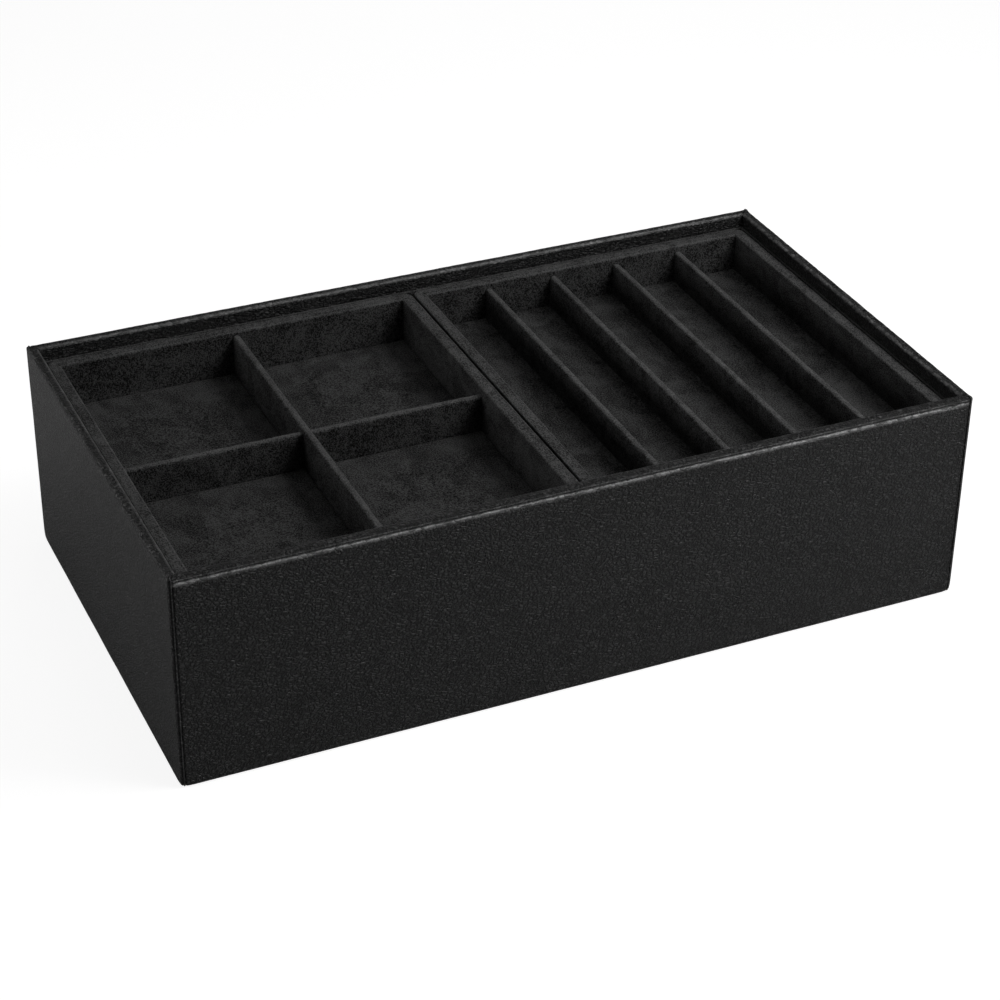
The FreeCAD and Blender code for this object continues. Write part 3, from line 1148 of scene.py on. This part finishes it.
class CoveredBoards:
    """Suede-covered boards in a row: one Geometry Nodes tree for every lining, ledge and divider."""

    inputs = {"Vector": ("Run", "First", "Step"), "Int": ("Count", "Sections"),
              "Float": ("Thickness", "Height", "Rounding", "Spacing", "Unevenness", "Seed"),
              "Material": ("Finish",)}
    rounding_points = 7
    crisp_angle = 1.0
    # Upward share of the normal over which the painted highlight rises.
    highlight_from = (0.35, 0.95)
    lumps = ((150.0, 1.0), (620.0, 0.7))
    section_step = 0.0013

    def __init__(self) -> None:
        """Builds the tree once."""
        self.tree = bpy.data.node_groups.new("covered_boards", "GeometryNodeTree")
        for kind, names in self.inputs.items():
            for name in names:
                self.tree.interface.new_socket(name=name, in_out="INPUT", socket_type="NodeSocket" + kind)
        self.tree.interface.new_socket(name="Geometry", in_out="OUTPUT", socket_type="NodeSocketGeometry")
        self._wire(Wiring(self.tree))

    def _wire(self, wires: Wiring) -> None:
        """Sweeps a rounded section along each board, then repeats and roughens it, and marks its upward faces
        for a painted highlight.

        Args:
            wires: The tree's wiring.
        """
        given = wires.add("NodeGroupInput").outputs
        line = wires.made("GeometryNodeCurvePrimitiveLine", {"End": given["Run"]})
        path = wires.made("GeometryNodeResampleCurve", {"Curve": line, "Count": given["Sections"]})
        level = wires.made("GeometryNodeSetCurveNormal", {"Curve": path}, mode="Z_UP")
        outline = wires.made("GeometryNodeCurvePrimitiveQuadrilateral",
                             {"Width": given["Thickness"], "Height": given["Height"]})
        soft = wires.made("GeometryNodeFilletCurve",
                          {"Curve": outline, "Radius": given["Rounding"], "Count": self.rounding_points,
                           "Limit Radius": True}, mode="POLY")
        section = wires.made("GeometryNodeResampleCurve", {"Curve": soft, "Length": given["Spacing"]},
                             mode="LENGTH")
        board = wires.made("GeometryNodeCurveToMesh", {"Curve": level, "Profile Curve": section,
                                                       "Fill Caps": True})
        places = wires.made("GeometryNodeMeshLine",
                            {"Count": given["Count"], "Start Location": given["First"],
                             "Offset": given["Step"]})
        copies = wires.made("GeometryNodeInstanceOnPoints", {"Points": places, "Instance": board})
        real = wires.made("GeometryNodeRealizeInstances", {0: copies})
        lumps = self._offset(wires, given)
        uneven = wires.made("GeometryNodeSetPosition", {"Geometry": real, "Offset": lumps})
        eased = wires.made("GeometryNodeSetShadeSmooth", {"Geometry": uneven}, domain="FACE")
        sharp = wires.math("GREATER_THAN", wires.made("GeometryNodeInputMeshEdgeAngle"), self.crisp_angle)
        crisp = wires.made("GeometryNodeSetShadeSmooth",
                           {"Geometry": eased, "Selection": sharp, "Shade Smooth": False}, domain="EDGE")
        # Painted highlight on the faces that point up: the tops of the boards are lighter.
        normal = wires.made("GeometryNodeInputNormal")
        upward = wires.add("ShaderNodeSeparateXYZ", {0: normal}).outputs[2]
        highlight_and_rub = wires.ranged(upward, *self.highlight_from)
        painted_highlight = wires.made("GeometryNodeStoreNamedAttribute",
                            {"Geometry": crisp, "Name": "highlight_and_rub", "Value": highlight_and_rub},
                            data_type="FLOAT", domain="POINT")
        finish = wires.made("GeometryNodeSetMaterial", {"Geometry": painted_highlight, "Material": given["Finish"]})
        wires.add("NodeGroupOutput", {0: finish})

    def _offset(self, wires: Wiring, given: Outputs) -> Socket:
        """Small lumps across the suede, as an offset along its normal.

        Args:
            wires: The tree's wiring.
            given: The tree's inputs.

        Returns:
            The offset.
        """
        place, normal = (wires.made("GeometryNodeInput" + kind) for kind in ("Position", "Normal"))
        total: Value = 0.0
        for scale, share in self.lumps:
            lump = wires.made("ShaderNodeTexNoise", {"Vector": place, "W": given["Seed"], "Scale": scale,
                                                     "Detail": 1.0}, noise_dimensions="4D")
            total = wires.line(wires.math("SUBTRACT", lump, 0.5), share, total)
        return wires.vector("SCALE", normal, scale=wires.times(total, given["Unevenness"]))

    def make(self, name: str, nodes: Sequence[str], rounding: float, unevenness: float, slot: Slot,
             spacing: float = 0.0006) -> Piece:
        """Makes one row of boards over equal, evenly placed nodes.

        Args:
            name: The piece's name.
            nodes: The nodes of the boards, in the row's order.
            rounding: Rounding of the boards' long edges.
            unevenness: Height of the lumps.
            slot: The material slot.
            spacing: Distance between points round the section.

        Returns:
            The row as a plain mesh.
        """
        low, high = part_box(nodes[0])
        size, middle = high - low, (low + high) / 2.0
        along_x = size.x > size.y
        run = Vector((size.x, 0.0, 0.0)) if along_x else Vector((0.0, size.y, 0.0))
        settings = {"Run": run, "First": middle - run / 2.0, "Step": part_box(nodes[1 % len(nodes)])[0] - low,
                    "Count": len(nodes), "Sections": int(run.length / self.section_step),
                    "Thickness": size.y if along_x else size.x, "Height": size.z, "Rounding": rounding,
                    "Spacing": spacing, "Unevenness": unevenness, "Seed": float(len(name)),
                    "Finish": slot.material()}
        carrier = linked(name + "_carrier", bpy.data.meshes.new(name + "_carrier"))
        modifier = carrier.modifiers.new("boards", "NODES")
        modifier.node_group = self.tree
        for item in self.tree.interface.items_tree:
            if item.in_out == "INPUT":
                modifier[item.identifier] = settings[item.name]
        graph = bpy.context.evaluated_depsgraph_get()
        mesh = bpy.data.meshes.new_from_object(carrier.evaluated_get(graph), depsgraph=graph)
        mesh.name = name
        bpy.data.objects.remove(carrier)
        return linked(name, mesh)


@dataclass
class PaddedFloor:
    """A padded floor: a crowned, closed pad whose edges roll down to the board under it."""

    name: str
    node: str
    body: str
    slot: Slot = Slot.PADDED_SUEDE
    crown: float = 0.0004
    crown_reach: float = 0.7
    roll: float = 0.0004
    spread: float = 0.0003
    step: float = 0.0022
    ends: Tuple[float, ...] = (0.0, 0.00015, 0.0004, 0.0008, 0.0013, 0.002, 0.003)
    lump_cell: float = 0.011
    lump_height: float = 0.00012
    ripple: SoftNoise = SoftNoise(7, 0.0026)
    ripple_height: float = 0.00004
    sink: float = 0.00008
    fade: float = 0.004
    fill: float = 0.85

    def build(self) -> None:
        low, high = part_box(self.node)
        spread = Vector((self.spread, self.spread, 0.0))
        low, high = low - spread, high + spread
        across = low.x + graded(high.x - low.x, self.step, self.ends)
        along = low.y + graded(high.y - low.y, self.step, self.ends)
        x, y = np.meshgrid(across, along)
        edge = np.minimum(np.minimum(x - low.x, high.x - x), np.minimum(y - low.y, high.y - y))
        fall = np.clip(1.0 - edge / self.roll, 0.0, 1.0)
        rolled = high.z - self.roll * (1.0 - np.sqrt(1.0 - fall ** 2))
        reach = min(high.x - low.x, high.y - low.y) / 2.0
        crown = self.crown * (1.0 - smooth(edge / (self.crown_reach * reach)))
        places = np.stack([x, y, rolled - crown], axis=-1)
        lumps = self.lump_height * SoftNoise(len(self.name), self.lump_cell).at(places)
        lumps = lumps + self.ripple_height * self.ripple.at(places)
        places[..., 2] += smooth(edge / self.fade) * (lumps - self.sink)
        under = np.stack([x, y, np.full_like(x, low.z)], axis=-1)
        rows, columns = x.shape
        count = rows * columns
        top = grid_faces(rows, columns, closed=False)
        faces = top + [tuple(count + point for point in reversed(face)) for face in top]
        border = self._border(rows, columns)
        for here, after in zip(border, border[1:] + border[:1]):
            faces.append((count + here, count + after, after, here))
        piece = mesh_object(self.name, np.concatenate([places.reshape(-1, 3), under.reshape(-1, 3)]), faces)
        hand_over(piece, self.body, self.slot, [self.node])

    @staticmethod
    def _border(rows: int, columns: int) -> List[int]:
        """The grid's outer points, counter-clockwise from above.

        Args:
            rows: The grid's rows, from the front.
            columns: Its columns, from the left.

        Returns:
            The points' numbers.
        """
        front = list(range(columns))
        right = [row * columns + columns - 1 for row in range(1, rows)]
        back = [(rows - 1) * columns + column for column in range(columns - 2, -1, -1)]
        left = [row * columns for row in range(rows - 2, 0, -1)]
        return front + right + back + left


@dataclass
class Case:
    """The case: leather, linings, the ledges that carry the trays, and the padded floor."""

    boards: CoveredBoards
    lining_rounding: float = 0.0005
    ledge_rounding: float = 0.0009
    unevenness: float = 0.0002
    spacing: float = 0.0009
    floor_crown: float = 0.0003
    floor_step: float = 0.004

    def build(self) -> None:
        """Builds and dresses every piece of the case."""
        LeatherCover().build()
        for kind, rounding in (("lining", self.lining_rounding), ("ledge", self.ledge_rounding)):
            for name, sides in (("long", ("front", "back")), ("short", ("left", "right"))):
                nodes = ["%s_%s" % (side, kind) for side in sides]
                piece = self.boards.make("%s_%ss" % (name, kind), nodes, rounding, self.unevenness,
                                         Slot.LINING, self.spacing)
                hand_over(piece, "case", Slot.LINING, nodes)
        PaddedFloor("storage_pad", "storage_floor", "case", crown=self.floor_crown,
                    step=self.floor_step).build()
        for name in ("base", "front", "back", "left", "right"):
            Slot.CASE_BOARD.dress(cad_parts[name + "_board"])
        Slot.FELT.dress(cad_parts["underside_cover"])


# The trays


@dataclass
class TrayWrap:
    """The suede of a tray: one wrap over the outside, the rim and the inside of its four walls."""

    tray: str
    corner: float = 0.0042
    outer_round: float = 0.0010
    outer_steps: int = 8
    inner_round: float = 0.0014
    inner_steps: int = 7
    # Painted highlight on the rim's flat top; its roundings get it in full.
    rim_highlight: float = 0.4
    rim_steps: int = 6
    cover: float = 0.0006
    thickness: float = 0.0005
    step: float = 0.0018
    foot_rows: Tuple[float, ...] = (0.0, 0.0005)
    rise_start: float = 0.003
    rise_steps: int = 8
    fall_steps: int = 14
    lumps: SoftNoise = SoftNoise(5, 0.012)
    lump_height: float = 0.0001
    ripple: SoftNoise = SoftNoise(9, 0.0022)
    ripple_height: float = 0.00006

    def section(self, low: Vector, high: Vector) -> Tuple[Array, ...]:
        """The wrap's section, from the foot of the outer face over the rim to the tray's floor.

        Args:
            low: The wrap's lowest corner.
            high: Its highest corner.

        Returns:
            The pen's columns.
        """
        board_low, board_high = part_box(self.tray + "_left_board")
        wall, top = board_high.x + self.cover - low.x, high.z
        outer, inner = self.outer_round, self.inner_round
        pen = SectionPen()
        rise = np.linspace(self.rise_start, top - low.z - outer, self.rise_steps + 1)[:-1]
        pen.run([(0.0, low.z + height) for height in (*self.foot_rows, *rise)], (-1.0, 0.0))
        # The rim's roundings and top are marked for a painted highlight.
        pen.turn((outer, top - outer), outer, 180.0, 90.0, self.outer_steps, 1.0)
        flat = np.linspace(outer, wall - inner, self.rim_steps + 1)[1:-1]
        pen.run([(inward, top) for inward in flat], (0.0, 1.0), self.rim_highlight)
        pen.turn((wall - inner, top - inner), inner, 90.0, 0.0, self.inner_steps, 1.0)
        fall = np.linspace(top - inner, board_low.z, self.fall_steps + 1)[1:]
        pen.run([(wall, height) for height in fall], (1.0, 0.0))
        return pen.columns()

    def build(self) -> None:
        """Builds and dresses the wrap."""
        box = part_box(self.tray + "_suede")
        section = self.section(*box)
        ring = Ring(box, self.corner, self.step)
        flat, outs = (np.array(loops) for loops in zip(*(ring.at(depth) for depth in section[0])))
        places, outward = swept(flat, outs, section)
        stand = self.lump_height * self.lumps.at(places) + self.ripple_height * self.ripple.at(places)
        places = places + outward * stand[..., None]
        painted_highlight = np.broadcast_to(section[-1][:, None], stand.shape)
        piece = mesh_object(self.tray + "_wrap", places.reshape(-1, 3), grid_faces(*stand.shape, closed=True),
                            painted_highlight.reshape(-1))
        give_thickness(piece, self.thickness)
        hand_over(piece, self.tray, Slot.SUEDE, [self.tray + "_suede"])


@dataclass
class Tray:
    """What both trays have: the wrap, the boards inside it and the cloth under it."""

    name: str
    boards: CoveredBoards
    divider_rounding: float = 0.0014
    unevenness: float = 0.0005

    def build_shell(self) -> None:
        """Builds the wrap and dresses the boards and the cloth."""
        TrayWrap(self.name).build()
        for side in ("base", "front", "back", "left", "right"):
            Slot.TRAY_BOARD.dress(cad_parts["%s_%s_board" % (self.name, side)])
        Slot.TRAY_CLOTH.dress(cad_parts[self.name + "_underside_cloth"])

    def build_dividers(self, name: str, nodes: Sequence[str]) -> None:
        """Builds one row of covered dividers over their nodes."""
        piece = self.boards.make(name, nodes, self.divider_rounding, self.unevenness, Slot.SUEDE)
        hand_over(piece, self.name, Slot.SUEDE, nodes)


class SquareTray(Tray):
    """The tray of four square compartments."""

    def build(self) -> None:
        """Builds and dresses every piece of the tray."""
        self.build_shell()
        self.build_dividers("square_long_divider", ["square_long_divider_suede"])
        self.build_dividers("square_cross_dividers", ["square_cross_divider_suede_left",
                                                      "square_cross_divider_suede_right"])
        for board in ("square_long_divider_board", "square_cross_divider_board"):
            Slot.TRAY_BOARD.dress(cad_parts[board])
        for corner in product(("front", "back"), ("left", "right")):
            PaddedFloor("square_pad_%s_%s" % corner, "square_floor_%s_%s" % corner, self.name).build()


class SlotTray(Tray):
    """The tray of long slots."""

    def build(self) -> None:
        """Builds and dresses every piece of the tray."""
        self.build_shell()
        nodes = sorted(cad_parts)
        dividers = [node for node in nodes if node.startswith("slot_divider_suede_")]
        self.build_dividers("slot_dividers", dividers)
        for node in nodes:
            if node.startswith("slot_divider_board_"):
                Slot.TRAY_BOARD.dress(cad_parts[node])
            elif node.startswith("slot_floor_"):
                PaddedFloor(node.replace("floor", "pad"), node, self.name).build()


# The studio


@dataclass(frozen=True)
class Softbox:
    """A soft light with a square or an oblong face."""

    name: str
    place: Place
    width: float
    height: float
    power: float
    target: Place = (0.0, 0.0, 0.08)

    def hang(self) -> None:
        """Adds the light, turned to its target and unseen by the camera."""
        light = bpy.data.lights.new(self.name, "AREA")
        light.shape = "RECTANGLE"
        light.size, light.size_y = self.width, self.height
        light.energy = self.power
        holder = linked(self.name, light)
        holder.location = self.place
        holder.rotation_euler = (Vector(self.target) - Vector(self.place)).to_track_quat("-Z", "Y").to_euler()
        holder.visible_camera = False


@dataclass
class Studio:
    """The pale floor, the soft lights, the grey room and the camera."""

    softboxes: Tuple[Softbox, ...] = (
        Softbox("key", (0.7, -0.45, 1.1), 0.5, 0.5, 6.2),
        Softbox("front_above", (0.4, -0.55, 0.95), 0.35, 0.35, 1.2),
        Softbox("overhead", (0.0, 0.0, 1.5), 0.8, 0.8, 3.0),
        Softbox("near_right", (0.5, -0.2, 0.5), 0.2, 0.2, 0.8),
        Softbox("left", (-1.0, 0.2, 0.32), 0.3, 0.3, 2.1),
        Softbox("low_left", (-0.7, 0.5, 0.1), 0.5, 0.2, 0.95),
        Softbox("back", (0.5, 1.2, 0.6), 0.5, 0.5, 0.9),
        Softbox("front_strip", (0.5, -0.8, 0.09), 0.7, 0.05, 1.2, (0.4, -0.11, 0.11)),
    )
    room_level: float = 0.01
    floor_size: float = 8.0
    floor_drop: float = 0.0002
    paper_shade: float = 0.45
    paper_tooth: float = 900.0
    tooth_shade: float = 1.06
    shadow_shade: float = 0.97
    shadow_share: float = 0.3
    paper_glow: float = 1.25
    lens: float = 92.968
    sensor: float = 36.0
    clip: Tuple[float, float] = (0.01, 50.0)
    eye: Place = (-0.44572, -0.99343, 0.71475)
    azimuth: float = -24.37
    elevation: float = 31.873
    roll: float = 0.674

    def build(self) -> None:
        """Sets up the whole studio."""
        self.lay_floor()
        self.light_room()
        for softbox in self.softboxes:
            softbox.hang()
        self.place_camera()
        bpy.context.scene.view_settings.view_transform = "Standard"

    def lay_floor(self) -> None:
        """Lays pale paper that looks white to the camera and keeps the shadow."""
        reach, low = self.floor_size / 2.0, -self.floor_drop
        corners = np.array([(-reach, -reach, low), (reach, -reach, low), (reach, reach, low),
                            (-reach, reach, low)])
        floor = mesh_object("studio_floor", corners, [(0, 1, 2, 3)])
        material = bpy.data.materials.new("studio_paper")
        wires = Wiring.emptied(material)
        place = wires.add("ShaderNodeTexCoord").outputs["Object"]
        tooth = wires.noise(place, self.paper_tooth, detail=3.0).outputs[0]
        shade = wires.blend(tooth, grey(self.paper_shade), grey(self.paper_shade * self.tooth_shade))
        matt = wires.made("ShaderNodeBsdfDiffuse", {"Color": shade})
        lit = wires.made("ShaderNodeBsdfDiffuse", {"Color": grey(self.shadow_shade)})
        white = wires.made("ShaderNodeEmission", {"Color": grey(1.0), "Strength": self.paper_glow})
        seen = wires.made("ShaderNodeMixShader", {0: self.shadow_share, 1: white, 2: lit})
        camera = wires.add("ShaderNodeLightPath").outputs["Is Camera Ray"]
        surface = wires.made("ShaderNodeMixShader", {0: camera, 1: matt, 2: seen})
        wires.add("ShaderNodeOutputMaterial", {"Surface": surface})
        floor.data.materials.append(material)

    def light_room(self) -> None:
        """Gives the room its plain grey light and a white look to the camera."""
        world = bpy.data.worlds.new("room")
        bpy.context.scene.world = world
        wires = Wiring.emptied(world)
        camera = wires.add("ShaderNodeLightPath").outputs["Is Camera Ray"]
        level = wires.line(camera, 1.0 - self.room_level, self.room_level)
        room = wires.made("ShaderNodeBackground", {"Color": grey(1.0), "Strength": level})
        wires.add("ShaderNodeOutputWorld", {"Surface": room})

    def place_camera(self) -> None:
        """Places the camera at the photograph's viewing angle."""
        lens = bpy.data.cameras.new("camera")
        lens.lens = self.lens
        lens.sensor_width = self.sensor
        lens.clip_start, lens.clip_end = self.clip
        camera = linked("camera", lens)
        turn = Matrix.Rotation(math.radians(self.azimuth), 4, "Z")
        tilt = Matrix.Rotation(math.radians(90.0 - self.elevation), 4, "X")
        roll = Matrix.Rotation(math.radians(self.roll), 4, "Z")
        camera.matrix_world = Matrix.Translation(self.eye) @ turn @ tilt @ roll
        bpy.context.scene.camera = camera


def main() -> None:
    """Builds the storage box and its studio."""
    logging.basicConfig(level=logging.INFO, format="%(message)s")
    boards = CoveredBoards()
    Case(boards).build()
    SquareTray("square_tray", boards).build()
    SlotTray("slot_tray", boards).build()
    Studio().build()


if __name__ == "__main__":
    main()
